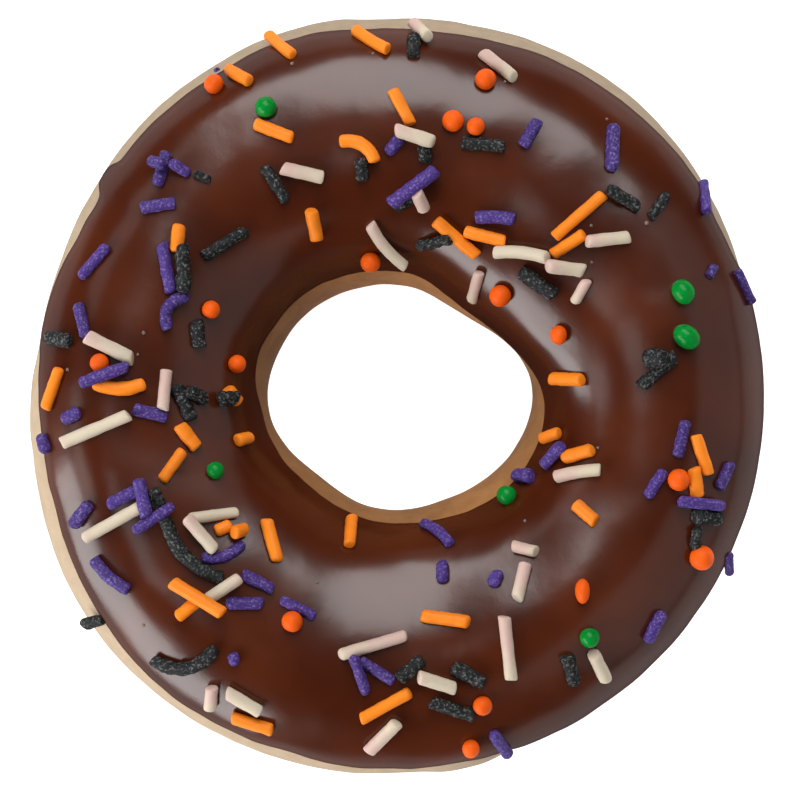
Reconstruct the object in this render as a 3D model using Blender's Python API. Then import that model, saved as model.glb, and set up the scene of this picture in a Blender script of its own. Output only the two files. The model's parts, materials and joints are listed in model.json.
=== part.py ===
"""An iced ring doughnut at its real size.

Two solids lie one on the other: the fried dough ring, which stands on a flat foot, and the icing,
a shell over the dough's top that ends in a rounded lip near the rim and thins out into the hole.

Lengths are in metres and +Z is up. The origin is in the foot's plane, in the middle of the ring.
A direction is an angle round the ring from +X. A turn is an angle round the dough's section:
0 degrees at the rim, 90 at the crest, 180 at the hole's wall.
"""

import math

import bpy

MM = 0.001

# The ring
RIM_RADIUS = 46.4 * MM  # mean radius of the dough at its widest
HOLE_RADIUS = 14.85 * MM  # mean radius of the hole at its narrowest
CREST_OUTSET = 3.0 * MM  # the crest lies this much nearer the rim than half-way
WAIST_HEIGHT = 12.8 * MM  # the rim's widest line above the foot
CREST_RISE = 14.2 * MM  # the crest above the waist
BELLY_DROP = 13.7 * MM  # how deep the belly would hang under the waist, were the foot not flat
ROUNDNESS = 0.94  # the section's power: 1 is an ellipse, less is squarer

# The ring's unevenness, as waves round it: (lobes, height, direction of a peak in degrees)
RIM_WAVES = (
    (1, 0.28 * MM, 169),
    (2, 1.10 * MM, 72),
    (3, 0.27 * MM, 107),
    (4, 0.26 * MM, 44),
    (5, 0.20 * MM, 55),
)
HOLE_WAVES = (
    (1, 0.18 * MM, 298),
    (2, 1.35 * MM, 167),
    (3, 0.31 * MM, 1),
    (4, 0.45 * MM, 1),
    (6, 0.16 * MM, 15),
)
CREST_WAVES = ((2, 0.30 * MM, 30), (3, 0.22 * MM, 85), (5, 0.12 * MM, 20))

# The icing
ICING_DEPTH = 1.4 * MM  # its thickness on the crest
RIM_LIP = 3.0 * MM  # how far in from its outer edge the icing reaches its full depth
HOLE_SLOPE = 9.0 * MM  # the same from its inner edge, where it thins out into the hole
HOLE_EDGE = 0.15  # the share of its depth that is left at that edge
EDGE_ROUNDING = 0.5 * MM  # how far in the rounding of that edge goes
ICING_GAP = 0.3 * MM  # clearance between the icing and the dough

# The icing's edge above the waist, and where it sags or draws up: (direction, change, spread)
RIM_LINE = 8.8 * MM
RIM_SAGS = (
    (-52, -2.4 * MM, 42),
    (7, -1.5 * MM, 26),
    (82, 0.7 * MM, 17),
    (168, -1.2 * MM, 15),
    (199, 1.6 * MM, 28),
    (254, 0.6 * MM, 17),
)
HOLE_LINE = 6.7 * MM
HOLE_SAGS = (
    (24, -1.9 * MM, 13),
    (44, -1.6 * MM, 34),
    (168, 1.2 * MM, 17),
    (184, -1.5 * MM, 18),
    (265, -0.7 * MM, 20),
    (320, 1.1 * MM, 34),
)


# Facets
DIRECTIONS = 96
DOUGH_TURNS = 22
ICING_TOP_TURNS = 14
ICING_UNDER_TURNS = 12


def waves(direction, terms):
    """The sum of the waves round the ring, at one direction in radians."""
    return sum(
        height * math.cos(lobes * (direction - math.radians(peak))) for lobes, height, peak in terms
    )


def sags(direction, terms):
    """The sum of the smooth sags along an icing edge, at one direction in radians."""
    total = 0.0
    for middle, change, spread in terms:
        away = math.remainder(direction - math.radians(middle), math.tau)
        total += change * math.exp(-((away / math.radians(spread)) ** 2))
    return total


def power(value):
    """A sine or cosine raised to the section's power, with its sign kept."""
    return math.copysign(abs(value) ** ROUNDNESS, value)


def turn_at(height_share):
    """The turn, from the waist upwards, at which the skin has this share of its full rise."""
    return math.asin(math.copysign(abs(height_share) ** (1 / ROUNDNESS), height_share))


def skin(direction, turn, lift=0.0):
    """A point on the dough's skin, or lifted off it: its distance from the axis and its height."""
    rim = RIM_RADIUS + waves(direction, RIM_WAVES)
    hole = HOLE_RADIUS + waves(direction, HOLE_WAVES)
    rise = CREST_RISE + waves(direction, CREST_WAVES)
    crest = (rim + hole) / 2 + CREST_OUTSET
    reach = rim - crest if math.cos(turn) > 0 else crest - hole
    drop = rise if math.sin(turn) > 0 else BELLY_DROP
    away = crest + (reach + lift) * power(math.cos(turn))
    height = WAIST_HEIGHT + (drop + lift) * power(math.sin(turn))
    return away, height


def dough_section(direction):
    """The dough's outline in one direction, from the foot's outer edge over the crest to its inner."""
    foot = turn_at(WAIST_HEIGHT / BELLY_DROP)
    step = (math.pi + 2 * foot) / (DOUGH_TURNS - 1)
    return [skin(direction, -foot + step * index) for index in range(DOUGH_TURNS)]


def rounding(share):
    """The height of a quarter circle's arc, this share of the way in from its foot."""
    return math.sqrt(max(0.0, 1 - (1 - min(1.0, share)) ** 2))


def icing_depth(from_rim_edge, from_hole_edge):
    """The icing's depth at these distances from its two edges."""
    rounded = rounding(from_rim_edge / RIM_LIP) * rounding(from_hole_edge / EDGE_ROUNDING)
    climbed = min(1.0, from_hole_edge / HOLE_SLOPE)
    thinned = HOLE_EDGE + (1 - HOLE_EDGE) * climbed**2 * (3 - 2 * climbed)
    return ICING_DEPTH * rounded * thinned


def icing_section(direction):
    """The icing's outline in one direction: over its top from lip to lip, and back along the dough."""
    rise = CREST_RISE + waves(direction, CREST_WAVES)
    start = turn_at((RIM_LINE + sags(direction, RIM_SAGS)) / rise)
    end = math.pi - turn_at((HOLE_LINE + sags(direction, HOLE_SAGS)) / rise)
    length = (end - start) * rise
    outline = []
    for index in range(ICING_TOP_TURNS):
        share = (1 - math.cos(math.pi * index / (ICING_TOP_TURNS - 1))) / 2
        depth = icing_depth(length * share, length * (1 - share))
        outline.append(skin(direction, start + share * (end - start), ICING_GAP + depth))
    for index in range(ICING_UNDER_TURNS):
        share = (index + 1) / (ICING_UNDER_TURNS + 1)
        outline.append(skin(direction, end + share * (start - end), ICING_GAP))
    return outline


def ring(name, section, turns, collection, material):
    """A closed ring whose outline in each direction is the one that section gives."""
    bpy.ops.mesh.primitive_torus_add(major_segments=DIRECTIONS, minor_segments=turns)
    made = bpy.context.object
    made.name = made.data.name = name
    for step in range(DIRECTIONS):
        direction = math.tau * step / DIRECTIONS
        for index, (away, height) in enumerate(section(direction)):
            vertex = made.data.vertices[step * turns + index]
            vertex.co = (away * math.cos(direction), away * math.sin(direction), height)
    made.data.shade_smooth()
    made.data.materials.append(material)
    for holder in made.users_collection:
        holder.objects.unlink(made)
    collection.objects.link(made)
    return made


def surface(name, colour, roughness):
    """A plain, non-metallic material."""
    material = bpy.data.materials.new(name)
    material.use_nodes = True
    shader = material.node_tree.nodes["Principled BSDF"]
    shader.inputs["Base Color"].default_value = (*colour, 1.0)
    shader.inputs["Roughness"].default_value = roughness
    shader.inputs["Metallic"].default_value = 0.0
    return material


def main():
    for old in list(bpy.data.objects):
        bpy.data.objects.remove(old)
    doughnut = bpy.data.collections.new("iced_ring_doughnut")
    bpy.context.scene.collection.children.link(doughnut)
    crust = surface("fried_dough", (0.62, 0.38, 0.16), 0.7)
    glaze = surface("chocolate_icing", (0.055, 0.012, 0.005), 0.25)
    ring("dough", dough_section, DOUGH_TURNS, doughnut, crust)
    ring("icing", icing_section, ICING_TOP_TURNS + ICING_UNDER_TURNS, doughnut, glaze)


main()
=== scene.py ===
"""A ring doughnut with chocolate icing, sugar rods and sugar beads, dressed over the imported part.

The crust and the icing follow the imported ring's own lines at a finer grain. The rods and beads are
then laid on the icing one by one, so that each rests on what lies under it.

Lengths are in metres, but in the layout tables and wherever MM follows a number they are written in
millimetres. +Z is up. A turn is an angle round the ring's section: 0 at the rim, a quarter at the
crest, a half at the hole's wall.
"""

import json
import math
import random

import bmesh
import bpy
import numpy as np
from bpy.props import FloatProperty, FloatVectorProperty, PointerProperty
from mathutils import Matrix, Quaternion, Vector, noise
from mathutils.bvhtree import BVHTree

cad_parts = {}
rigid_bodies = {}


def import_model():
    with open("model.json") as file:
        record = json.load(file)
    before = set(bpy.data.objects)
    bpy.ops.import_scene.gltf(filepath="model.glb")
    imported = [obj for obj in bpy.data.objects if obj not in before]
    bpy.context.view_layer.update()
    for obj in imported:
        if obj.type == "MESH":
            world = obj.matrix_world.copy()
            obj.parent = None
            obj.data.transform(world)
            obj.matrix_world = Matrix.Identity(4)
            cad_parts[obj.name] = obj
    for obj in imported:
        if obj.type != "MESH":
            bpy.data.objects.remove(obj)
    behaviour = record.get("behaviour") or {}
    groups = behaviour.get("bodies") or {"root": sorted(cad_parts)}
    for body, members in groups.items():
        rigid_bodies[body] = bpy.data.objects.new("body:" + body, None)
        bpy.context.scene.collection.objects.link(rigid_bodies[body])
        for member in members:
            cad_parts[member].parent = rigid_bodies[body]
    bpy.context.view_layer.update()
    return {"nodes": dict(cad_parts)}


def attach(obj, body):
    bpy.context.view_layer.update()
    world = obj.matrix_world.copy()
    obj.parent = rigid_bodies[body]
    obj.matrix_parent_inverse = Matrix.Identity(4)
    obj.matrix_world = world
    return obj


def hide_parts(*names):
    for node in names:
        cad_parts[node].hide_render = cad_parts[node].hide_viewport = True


bl_info = {
    "name": "Sprinkled Ring Doughnut",
    "version": (1, 0, 0),
    "blender": (4, 5, 0),
    "location": "3D View > Sidebar > Doughnut",
    "description": "Dresses a packed ring doughnut with crust, icing, sugar rods and beads, and sets its stage",
    "category": "Add Mesh",
}

MM = 0.001

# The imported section, as the part gives it
PACKED_DIRECTIONS = 96
WAIST = 12.8 * MM
BELLY_DROP = 13.7 * MM
ROUNDNESS = 0.94
ICING_GAP = 0.3 * MM

# How fine the shown rings are
DOUGH_DIRECTIONS = 480
DOUGH_SKIN_STATIONS = 66
DOUGH_FOOT_STATIONS = 14
ICING_DIRECTIONS = 640
ICING_TOP_STATIONS = 112
ICING_UNDER_STATIONS = 16

# The viewer looks straight down from here
EYE = Vector((0.375 * MM, -0.5 * MM, WAIST + 375 * MM))

# The sugar rods: each is (x, y) of one tip, (x, y) of the other and its thickness, then how far its
# middle bows to the left, 1 if it lies across others, and its own hue from -1 to 1. All are in
# millimetres, as they appear on the waist's plane to the viewer above.
RODS = {
    "orange": (
        (-21.6, 41.1, -18.0, 39.1, 1.6), (-16.4, 45.6, -12.6, 42.4, 1.5, -0.2),
        (-17.9, 34.1, -12.9, 32.2, 1.6), (-7.2, 31.8, -2.7, 29.2, 1.6, 1.1, 1),
        (-5.6, 46.1, -0.8, 43.2, 1.5, -0.2), (-0.6, 38.4, 1.8, 33.9, 1.5), (-27.2, 21.5, -27.6, 18.0, 1.7),
        (-38.0, 1.8, -31.5, 1.6, 1.7, -0.8), (-42.2, 3.6, -44.0, -1.8, 1.5), (-10.8, 23.5, -9.9, 19.1, 1.6),
        (-21.4, 1.2, -19.6, -1.1, 1.6), (4.7, 22.0, 10.1, 17.4, 1.6), (8.4, 20.6, 13.6, 19.3, 1.6),
        (19.6, 19.8, 25.9, 25.3, 1.5), (19.3, 17.6, 23.5, 20.3, 1.5), (18.8, 2.2, 23.6, 2.0, 1.7),
        (-27.3, -3.5, -24.9, -6.6, 1.7), (-26.6, -6.7, -29.5, -10.7, 1.5), (-22.9, -17.0, -20.5, -16.0, 1.6),
        (-20.5, -17.1, -18.9, -16.6, 1.7), (-28.3, -23.2, -21.6, -27.3, 1.7, 0, 1),
        (-20.4, -5.7, -17.9, -5.0, 1.5), (-16.4, -15.2, -14.9, -20.8, 1.6), (-5.6, -14.7, -6.0, -19.1, 1.5),
        (17.6, -5.5, 20.7, -4.4, 1.5), (20.5, -7.8, 24.8, -6.6, 1.6), (22.1, -13.3, 25.0, -15.9, 1.6),
        (37.3, -4.8, 39.0, -9.9, 1.5), (37.1, -8.9, 37.6, -12.7, 1.6), (-27.5, -27.7, -24.9, -25.6, 1.5),
        (-4.6, -40.5, 1.7, -37.0, 1.5), (-20.7, -40.2, -15.5, -41.8, 1.6), (2.9, -27.4, 9.2, -28.3, 1.7),
    ),
    "purple": (
        (-30.0, 26.2, -28.8, 30.6, 1.5), (-30.9, 29.4, -29.2, 29.0, 1.5), (-28.5, 29.4, -25.9, 27.7, 1.3),
        (-1.3, 30.2, 0.7, 32.6, 1.5), (-0.9, 23.9, 5.0, 28.3, 1.7, 0, 1), (17.7, 34.6, 15.7, 31.1, 1.5),
        (27.1, 34.2, 26.8, 28.0, 1.6), (38.2, 27.2, 38.8, 22.6, 1.4), (-32.1, 23.5, -27.6, 24.2, 1.5),
        (-29.4, 19.1, -28.2, 12.9, 1.5), (-26.0, 12.6, -28.6, 8.2, 1.5, -1.5),
        (-36.1, 18.9, -39.7, 14.7, 1.4), (-39.9, 11.6, -38.9, 7.2, 1.4), (-39.8, 1.5, -33.5, 3.8, 1.5, 0, 1),
        (9.7, 22.2, 14.8, 22.0, 1.6, 0.3), (39.8, 16.5, 38.9, 14.7, 1.1), (42.4, 15.8, 44.5, 11.5, 1.2),
        (-33.1, -1.6, -28.6, -2.6, 1.5), (-42.1, -3.2, -39.4, -1.8, 1.6), (-44.6, -4.6, -43.8, -7.4, 1.5),
        (-36.3, -13.7, -32.3, -11.7, 1.5), (-32.3, -10.4, -31.3, -15.2, 1.6, 0, 1),
        (-33.0, -17.0, -27.9, -13.6, 1.4, 0, 1), (-40.7, -16.4, -38.3, -13.3, 1.7),
        (-38.0, -20.2, -33.4, -24.3, 1.5, -0.5), (-24.6, -20.1, -19.1, -18.2, 1.4, -0.9),
        (-19.4, -22.2, -15.4, -24.2, 1.4), (-14.6, -25.4, -10.1, -27.6, 1.3), (20.8, -5.9, 18.0, -9.0, 1.5),
        (14.2, -9.8, 17.3, -10.0, 1.7), (2.7, -15.8, 6.9, -18.9, 1.4, 0.6), (5.7, -20.3, 5.6, -23.5, 1.5),
        (12.7, -21.6, 11.9, -23.9, 1.6), (36.1, -3.1, 35.1, -7.6, 1.5), (33.5, -9.2, 31.2, -12.7, 1.5),
        (41.8, -8.2, 40.2, -11.8, 1.4), (34.9, -13.1, 41.1, -13.8, 1.4), (41.5, -19.5, 41.6, -22.5, 1.2),
        (-21.4, -25.9, -16.6, -25.9, 1.5), (-20.6, -32.1, -20.2, -33.7, 1.4),
        (-5.6, -32.3, -3.7, -37.4, 1.3, 0, 1), (-4.7, -33.0, -0.4, -35.7, 1.3),
        (11.7, -41.8, 14.3, -45.4, 1.5), (33.3, -26.9, 31.2, -30.9, 1.6), (-22.8, 40.6, -22.2, 41.0, 0.7),
    ),
    "black": (
        (-25.5, 27.9, -23.2, 26.9, 1.0), (-16.6, 28.8, -13.8, 24.3, 1.4), (-4.5, 29.9, -4.3, 26.7, 1.5),
        (2.1, 45.4, 2.0, 42.2, 1.6), (8.0, 31.7, 13.5, 31.2, 1.5), (3.4, 31.8, 3.6, 29.1, 1.6),
        (-0.4, 23.4, 3.0, 25.6, 1.6), (26.2, 26.0, 30.4, 23.5, 1.5), (33.8, 25.3, 31.6, 22.2, 1.3),
        (-26.8, 18.9, -26.7, 12.9, 1.7), (-44.2, 7.2, -40.4, 6.9, 1.7), (-27.7, 1.4, -25.5, -3.1, 1.6),
        (-26.4, 0.9, -23.6, -0.6, 1.6), (-25.1, 9.5, -24.7, 6.0, 1.7), (-24.3, 17.3, -18.8, 20.8, 1.4),
        (-22.7, -0.5, -19.5, -0.1, 1.8, 0, 1), (2.4, 18.7, 6.9, 19.6, 1.3), (15.3, 15.7, 19.8, 12.5, 1.7),
        (34.9, 5.1, 30.3, 1.1, 1.6), (31.2, 4.7, 33.6, 4.7, 2.3), (-30.6, -11.6, -29.6, -14.0, 1.7),
        (-29.0, -15.1, -21.7, -22.8, 1.7, -1.6), (36.9, -15.0, 41.0, -15.3, 1.9),
        (37.6, -16.3, 37.2, -19.4, 1.3), (-39.6, -28.7, -36.3, -27.8, 1.4),
        (-30.8, -32.8, -22.5, -31.3, 1.6, -2.1), (0.1, -35.5, 3.3, -32.8, 1.6),
        (21.1, -32.2, 22.4, -36.3, 1.7), (6.9, -33.8, 11.0, -36.0, 1.7), (4.1, -38.2, 9.8, -40.1, 1.6),
    ),
    "pale": (
        (-14.4, 28.5, -9.2, 27.3, 1.6), (-0.3, 33.3, 4.7, 31.7, 1.6, 0, 1), (1.6, 47.1, 4.2, 44.6, 1.5, 0, 0, 0.4),
        (10.6, 43.0, 14.8, 39.7, 1.6, 0, 0, 0.4), (2.2, 25.9, 3.6, 22.9, 1.6, 0, 0, 0.9), (-38.9, 7.5, -33.0, 4.6, 1.7),
        (-28.8, 3.4, -29.3, -1.8, 1.5, 0, 1, 0.9), (-3.5, 21.7, 1.3, 16.0, 1.5, -0.5),
        (12.0, 17.9, 19.0, 17.2, 1.6, 0.4, 0, -1), (23.7, 19.3, 29.1, 19.9, 1.5),
        (18.5, 16.3, 23.7, 15.6, 1.7), (23.9, 14.7, 22.1, 11.5, 1.4, 0, 0, 0.5), (10.4, 15.8, 9.2, 11.6, 1.4, 0, 0, 0.5),
        (-42.1, -6.0, -33.4, -2.3, 1.5, 0, 0, -0.6), (-39.1, -17.8, -31.6, -13.6, 1.5, 0, 0, -0.6),
        (-26.3, -15.4, -19.8, -14.5, 1.4, 0, 0, -0.6), (-26.4, -15.1, -22.7, -19.4, 1.6),
        (-19.6, -22.7, -23.7, -25.4, 1.5, 0, 0, -0.4), (19.6, -10.2, 25.7, -9.2, 1.6, 0.2),
        (14.3, -18.7, 17.6, -19.5, 1.5, 0, 0, 0.5), (16.1, -20.8, 15.0, -25.5, 1.6, 0, 0, 0.5), (-23.1, -36.1, -23.4, -39.5, 1.6, 0, 0, 0.4),
        (1.2, -29.9, -7.2, -32.4, 1.5, 0, 0, 0.5), (-3.8, -44.7, 0.2, -40.7, 1.6),
        (-21.3, -37.1, -17.1, -39.5, 1.6, 0, 0, -0.6), (13.4, -27.5, 14.3, -35.6, 1.6, 0, 0, 0.5),
        (24.4, -31.9, 26.3, -35.8, 1.6, 0, 0, -0.5), (2.6, -35.1, 7.4, -36.6, 1.7, 0, 0, -0.5),
    ),
}

# The sugar beads: (x, y) and the diameters, and a turn in degrees for those that aren't round
BEADS = {
    "orange": (
        (-22.9, 39.0, 2.4, 2.4, 0), (11.1, 39.6, 2.55, 2.55, 0), (7.0, 34.4, 2.6, 2.6, 0),
        (9.85, 33.7, 2.2, 2.2, 0), (-37.2, 4.15, 2.3, 2.3, 0), (-23.25, 10.8, 2.2, 2.2, 0),
        (-3.3, 16.7, 2.5, 2.5, 0), (-20.0, 4.0, 2.2, 2.2, 0), (12.9, 12.5, 2.7, 2.7, 0),
        (20.2, 7.6, 2.1, 2.4, 0), (23.2, -24.4, 1.8, 3.0, 0), (35.25, -10.5, 2.7, 2.7, 0),
        (38.1, -20.25, 3.0, 3.0, 0), (-13.1, -28.2, 2.55, 2.55, 0), (10.7, -38.75, 2.35, 2.35, 0),
        (9.25, -44.1, 2.1, 2.3, 0),
    ),
    "green": (
        (-16.4, 36.1, 2.6, 2.6, 0), (35.8, 13.0, 3.1, 2.7, 125), (36.2, 7.4, 3.5, 2.8, -35),
        (-22.7, -9.3, 2.1, 2.1, 0), (13.7, -12.4, 2.4, 2.4, 0), (24.1, -30.25, 2.4, 2.4, 0),
    ),
}

# The sugar's crumbs: (x, y) and the width
CRUMBS = (
    (-13.1, 41.5, 0.5), (-31.7, 7.9, 0.45), (-10.0, -23.3, 0.35), (24.3, 21.3, 0.4), (24.3, 16.7, 0.4),
    (26.2, 34.6, 0.35), (13.5, 39.3, 0.4), (-41.2, 3.3, 0.4), (-32.4, 5.2, 0.35), (25.1, -6.5, 0.35),
    (-31.7, -28.7, 0.4), (-3.0, 42.8, 0.35), (31.2, 21.6, 0.55), (16.0, -15.6, 0.35), (24.9, -34.5, 0.3),
)


def clear_scene():
    """Removes the startup objects, so that only the frame and its dress are there."""
    for old in list(bpy.data.objects):
        bpy.data.objects.remove(old)


clear_scene()
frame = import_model()


class CrustSettings(bpy.types.PropertyGroup):
    """The fried dough's skin."""

    lumps: FloatProperty(
        name="Lumps", description="How far the skin swells and dips",
        default=0.14 * MM, min=0.0, subtype="DISTANCE", unit="LENGTH", precision=5)
    pale: FloatVectorProperty(
        name="Pale band", description="The soft band round the rim that the fat didn't reach",
        default=(0.40, 0.295, 0.19), size=3, min=0.0, max=1.0, subtype="COLOR")
    golden: FloatVectorProperty(
        name="Golden crust", description="The crust between the pale band and the brown",
        default=(0.35, 0.175, 0.050), size=3, min=0.0, max=1.0, subtype="COLOR")
    brown: FloatVectorProperty(
        name="Brown crust", description="The well-fried crust underneath and inside the hole",
        default=(0.215, 0.087, 0.021), size=3, min=0.0, max=1.0, subtype="COLOR")


class IcingSettings(bpy.types.PropertyGroup):
    """The chocolate icing."""

    depth: FloatProperty(
        name="Depth", description="The icing's thickness away from its lips",
        default=1.7 * MM, min=0.2 * MM, subtype="DISTANCE", unit="LENGTH", precision=5)
    rim_lip: FloatProperty(
        name="Rim lip", description="How far in from its outer edge the icing reaches its full depth",
        default=3.0 * MM, min=0.2 * MM, subtype="DISTANCE", unit="LENGTH", precision=5)
    hole_slope: FloatProperty(
        name="Hole slope", description="The same from its inner edge, where it thins out into the hole",
        default=9.0 * MM, min=0.2 * MM, subtype="DISTANCE", unit="LENGTH", precision=5)
    unevenness: FloatProperty(
        name="Unevenness", description="How far the set icing swells and dips",
        default=0.16 * MM, min=0.0, subtype="DISTANCE", unit="LENGTH", precision=5)
    dark: FloatVectorProperty(
        name="Dark chocolate", description="The icing's darker places",
        default=(0.045, 0.0070, 0.0012), size=3, min=0.0, max=1.0, subtype="COLOR")
    light: FloatVectorProperty(
        name="Light chocolate", description="The icing's lighter places",
        default=(0.071, 0.0128, 0.0026), size=3, min=0.0, max=1.0, subtype="COLOR")
    gloss: FloatProperty(
        name="Roughness", description="How soft the icing's gloss is",
        default=0.22, min=0.0, max=1.0, subtype="FACTOR")


class SugarSettings(bpy.types.PropertyGroup):
    """The sugar rods and beads."""

    sink: FloatProperty(
        name="Sink", description="How deep a rod sits in the icing",
        default=0.3 * MM, min=0.0, subtype="DISTANCE", unit="LENGTH", precision=5)
    orange: FloatVectorProperty(
        name="Orange rods", description="Colour of the orange rods",
        default=(0.77, 0.200, 0.012), size=3, min=0.0, max=1.0, subtype="COLOR")
    purple: FloatVectorProperty(
        name="Purple rods", description="Colour of the purple rods",
        default=(0.042, 0.018, 0.142), size=3, min=0.0, max=1.0, subtype="COLOR")
    black: FloatVectorProperty(
        name="Black rods", description="Colour of the black rods",
        default=(0.006, 0.008, 0.009), size=3, min=0.0, max=1.0, subtype="COLOR")
    pale: FloatVectorProperty(
        name="Pale rods", description="Colour of the cream rods",
        default=(0.53, 0.455, 0.345), size=3, min=0.0, max=1.0, subtype="COLOR")
    pink: FloatVectorProperty(
        name="Pink rods", description="Colour of the pink places on the cream rods",
        default=(0.53, 0.37, 0.32), size=3, min=0.0, max=1.0, subtype="COLOR")
    orange_bead: FloatVectorProperty(
        name="Orange beads", description="Colour of the orange beads",
        default=(0.72, 0.090, 0.002), size=3, min=0.0, max=1.0, subtype="COLOR")
    green_bead: FloatVectorProperty(
        name="Green beads", description="Colour of the green beads",
        default=(0.0, 0.190, 0.022), size=3, min=0.0, max=1.0, subtype="COLOR")


class StageSettings(bpy.types.PropertyGroup):
    """The floor, the lights and the camera."""

    floor: FloatVectorProperty(
        name="Floor", description="Colour of the plain floor",
        default=(0.45, 0.45, 0.45), size=3, min=0.0, max=1.0, subtype="COLOR")
    key: FloatProperty(
        name="Big softbox", description="Brightness of the big softbox beyond the ring",
        default=5.6, min=0.0)
    side: FloatProperty(
        name="Low panel", description="Brightness of the low panel at the near left",
        default=7.5, min=0.0)
    glow: FloatProperty(
        name="Glows", description="Brightness of the three small glows on the left",
        default=2.4, min=0.0)
    fill: FloatProperty(
        name="Fill", description="Brightness of the weak panel at the right",
        default=0.5, min=0.0)


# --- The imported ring's lines ---


def power(values):
    """Sines or cosines raised to the section's power, with their signs kept."""
    return np.copysign(np.abs(values) ** ROUNDNESS, values)


def turn_at(share):
    """The turn, from the waist upwards, at which the skin has this share of its full rise."""
    return np.arcsin(np.clip(share, 0, 1) ** (1 / ROUNDNESS))


FOOT_TURN = float(turn_at(WAIST / BELLY_DROP))


def packed_rows(name):
    """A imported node's points in each direction, each once, as rows of (away, height)."""
    copy = bmesh.new()
    copy.from_mesh(frame["nodes"][name].data)
    bmesh.ops.remove_doubles(copy, verts=copy.verts, dist=0.001 * MM)
    places = np.array([vertex.co for vertex in copy.verts])
    copy.free()
    away = np.hypot(places[:, 0], places[:, 1])
    share = np.arctan2(places[:, 1], places[:, 0]) / math.tau
    step = np.rint(share * PACKED_DIRECTIONS).astype(int) % PACKED_DIRECTIONS
    rows = np.column_stack([away, places[:, 2]])
    return [rows[step == index] for index in range(PACKED_DIRECTIONS)]


def packed_lines():
    """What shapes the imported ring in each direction: its crest, its reach to the rim and to the hole,
    its rise above the waist, and the turns at which the icing starts and ends."""
    lines = {"crest": [], "outward": [], "inward": [], "rise": [], "start": [], "end": []}
    for skin_rows, icing_rows in zip(packed_rows("dough"), packed_rows("icing")):
        away, height = skin_rows.T
        middle = (away.max() + away.min()) / 2
        order = np.argsort((np.arctan2(height - WAIST, away - middle) + math.pi / 2) % math.tau)
        away, height = away[order], height[order]
        turns = np.linspace(-FOOT_TURN, math.pi + FOOT_TURN, len(away))
        across = power(np.cos(turns))
        sides = np.column_stack([np.ones(len(turns)), np.maximum(across, 0), np.minimum(across, 0)])
        crest, outward, inward = np.linalg.lstsq(sides, away, rcond=None)[0]
        upper = np.sin(turns) > 0.3
        rise = np.mean((height[upper] - WAIST) / power(np.sin(turns[upper])))
        lines["crest"].append(crest)
        lines["outward"].append(outward)
        lines["inward"].append(inward)
        lines["rise"].append(rise)
        outer = icing_rows[icing_rows[:, 0] > crest, 1].min()
        inner = icing_rows[icing_rows[:, 0] < crest, 1].min()
        lines["start"].append(float(turn_at((outer - WAIST) / (rise + ICING_GAP))))
        lines["end"].append(math.pi - float(turn_at((inner - WAIST) / (rise + ICING_GAP))))
    return {name: np.array(values) for name, values in lines.items()}


PACKED = packed_lines()


def around(name, directions):
    """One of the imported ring's lines, smoothly, in any directions."""
    series = np.fft.rfft(PACKED[name]) / PACKED_DIRECTIONS
    total = np.full(np.shape(directions), series[0].real)
    for lobes in range(1, 40):
        total = total + 2 * (series[lobes] * np.exp(1j * lobes * directions)).real
    return total


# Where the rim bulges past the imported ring: (direction, spread in degrees, millimetres)
RIM_BULGES = ((106, 10, 0.5), (181, 6, 0.3), (280.5, 5.5, 0.55))


def reach(directions, least, runs):
    """A length round the ring, longer or shorter near some directions."""
    total = least + np.zeros(len(directions))
    for middle, spread, further in runs:
        aside = ((np.degrees(directions) - middle + 180) % 360 - 180) / spread
        total += further * MM * np.exp(-aside ** 4)
    return total


def skin(directions, turns, lift):
    """Points on the dough's skin, or lifted off it."""
    across = power(np.cos(turns))
    outward = reach(directions, around("outward", directions), RIM_BULGES)
    outreach = np.where(across > 0, outward, around("inward", directions))
    drop = np.where(np.sin(turns) > 0, around("rise", directions), BELLY_DROP)
    away = around("crest", directions) + (outreach + lift) * across
    height = WAIST + (drop + lift) * power(np.sin(turns))
    return np.column_stack([away * np.cos(directions), away * np.sin(directions), height])


def swell(places, size, seed):
    """Smooth noise, about -1 to 1, at each place, in lumps of this size."""
    shift = Vector((seed * 3.7, seed * 5.3, seed * 7.1))
    return np.array([noise.noise(Vector(place) / size + shift) for place in places])


# --- Meshes ---


def ring_blank(name, directions, stations):
    """A plain ring mesh, with the direction and the station of each of its vertices."""
    shape = bmesh.new()
    upright = Matrix.Translation((1, 0, 0)) @ Matrix.Rotation(math.pi / 2, 4, "X")
    bmesh.ops.create_circle(shape, segments=stations, radius=0.25, matrix=upright)
    bmesh.ops.spin(
        shape, geom=shape.verts[:] + shape.edges[:], cent=(0, 0, 0), axis=(0, 0, 1),
        dvec=(0, 0, 0), angle=math.tau, steps=directions, use_merge=True)
    bmesh.ops.remove_doubles(shape, verts=shape.verts, dist=1e-5)
    bmesh.ops.recalc_face_normals(shape, faces=shape.faces)
    mesh = bpy.data.meshes.new(name)
    shape.to_mesh(mesh)
    shape.free()
    places = points_of(mesh)
    direction = np.arctan2(places[:, 1], places[:, 0]) % math.tau
    section = np.arctan2(places[:, 2], np.hypot(places[:, 0], places[:, 1]) - 1)
    station = np.rint(section / math.tau * stations).astype(int) % stations
    return mesh, direction, station


def points_of(mesh):
    """The mesh's vertices as rows of x, y, z."""
    places = np.empty(len(mesh.vertices) * 3, np.float32)
    mesh.vertices.foreach_get("co", places)
    return places.reshape(-1, 3).astype(float)


def place_points(mesh, places):
    """Moves the mesh's vertices to these places."""
    mesh.vertices.foreach_set("co", places.astype(np.float32).ravel())
    mesh.shade_smooth()
    mesh.update()


def add_piece(name, mesh, material):
    """Puts a finished mesh in the scene as a piece of the doughnut."""
    piece = bpy.data.objects.new(name, mesh)
    bpy.context.scene.collection.objects.link(piece)
    mesh.materials.append(material)
    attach(piece, "root")
    return piece


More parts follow.
